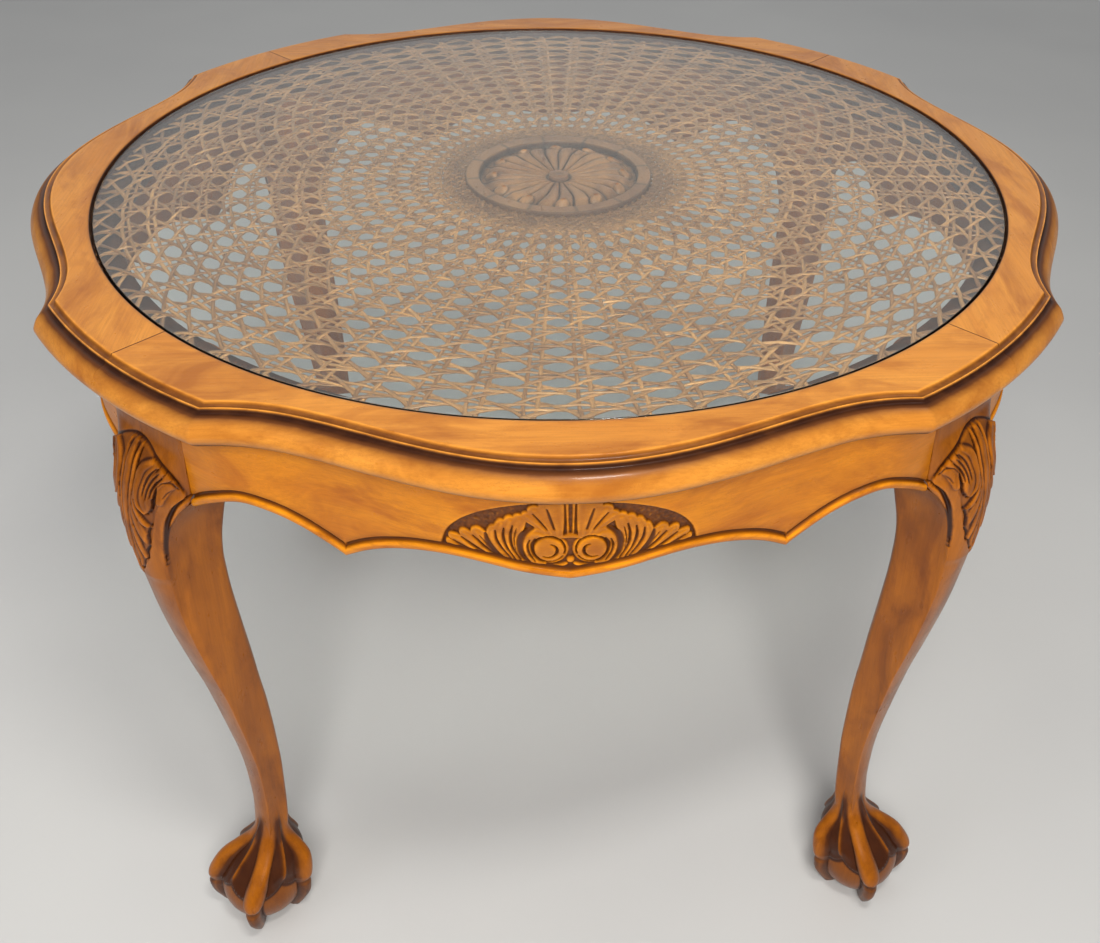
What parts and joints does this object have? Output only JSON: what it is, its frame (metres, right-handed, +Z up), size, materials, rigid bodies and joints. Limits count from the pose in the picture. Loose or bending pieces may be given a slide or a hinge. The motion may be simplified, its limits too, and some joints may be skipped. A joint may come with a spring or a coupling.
{
  "type": "coffee table",
  "caption": "Round carved wooden coffee table with a woven cane top, a central rosette, a loose glass plate and cabriole legs on claw and ball feet.",
  "frame": {"origin": "centre of the table on the floor", "axes": "+Z up from the floor, the front of the table faces -Y, the legs stand on the diagonals between X and Y"},
  "size_m": [0.757, 0.757, 0.53],
  "materials": {
    "rim_wood": "gloss lacquer over stained beech",
    "apron_wood": "gloss lacquer over stained beech",
    "leg_wood": "gloss lacquer over stained beech, dark in the carving",
    "rosette_wood": "satin, carved, dark in the hollows",
    "dowel_wood": "bare, sanded",
    "cane": "satin, woven natural cane",
    "glass": "clear, polished, green at the edge"
  },
  "bodies": {
    "table": {"rim_front": "rim_wood", "rim_right": "rim_wood", "rim_back": "rim_wood", "rim_left": "rim_wood", "cane_panel": "cane", "rosette": "rosette_wood", "apron_front": "apron_wood", "apron_right": "apron_wood", "apron_back": "apron_wood", "apron_left": "apron_wood", "leg_front_left": "leg_wood", "leg_front_right": "leg_wood", "leg_back_right": "leg_wood", "leg_back_left": "leg_wood", "rim_dowels": "dowel_wood", "apron_dowels": "dowel_wood", "top_dowels": "dowel_wood"},
    "glass": {"glass_top": "glass"}
  },
  "joints": [
    {"name": "glass_lift", "type": "slide", "parent": "table", "child": "glass", "axis": [0, 0, 1], "range_m": [0, 0.05]}
  ]
}
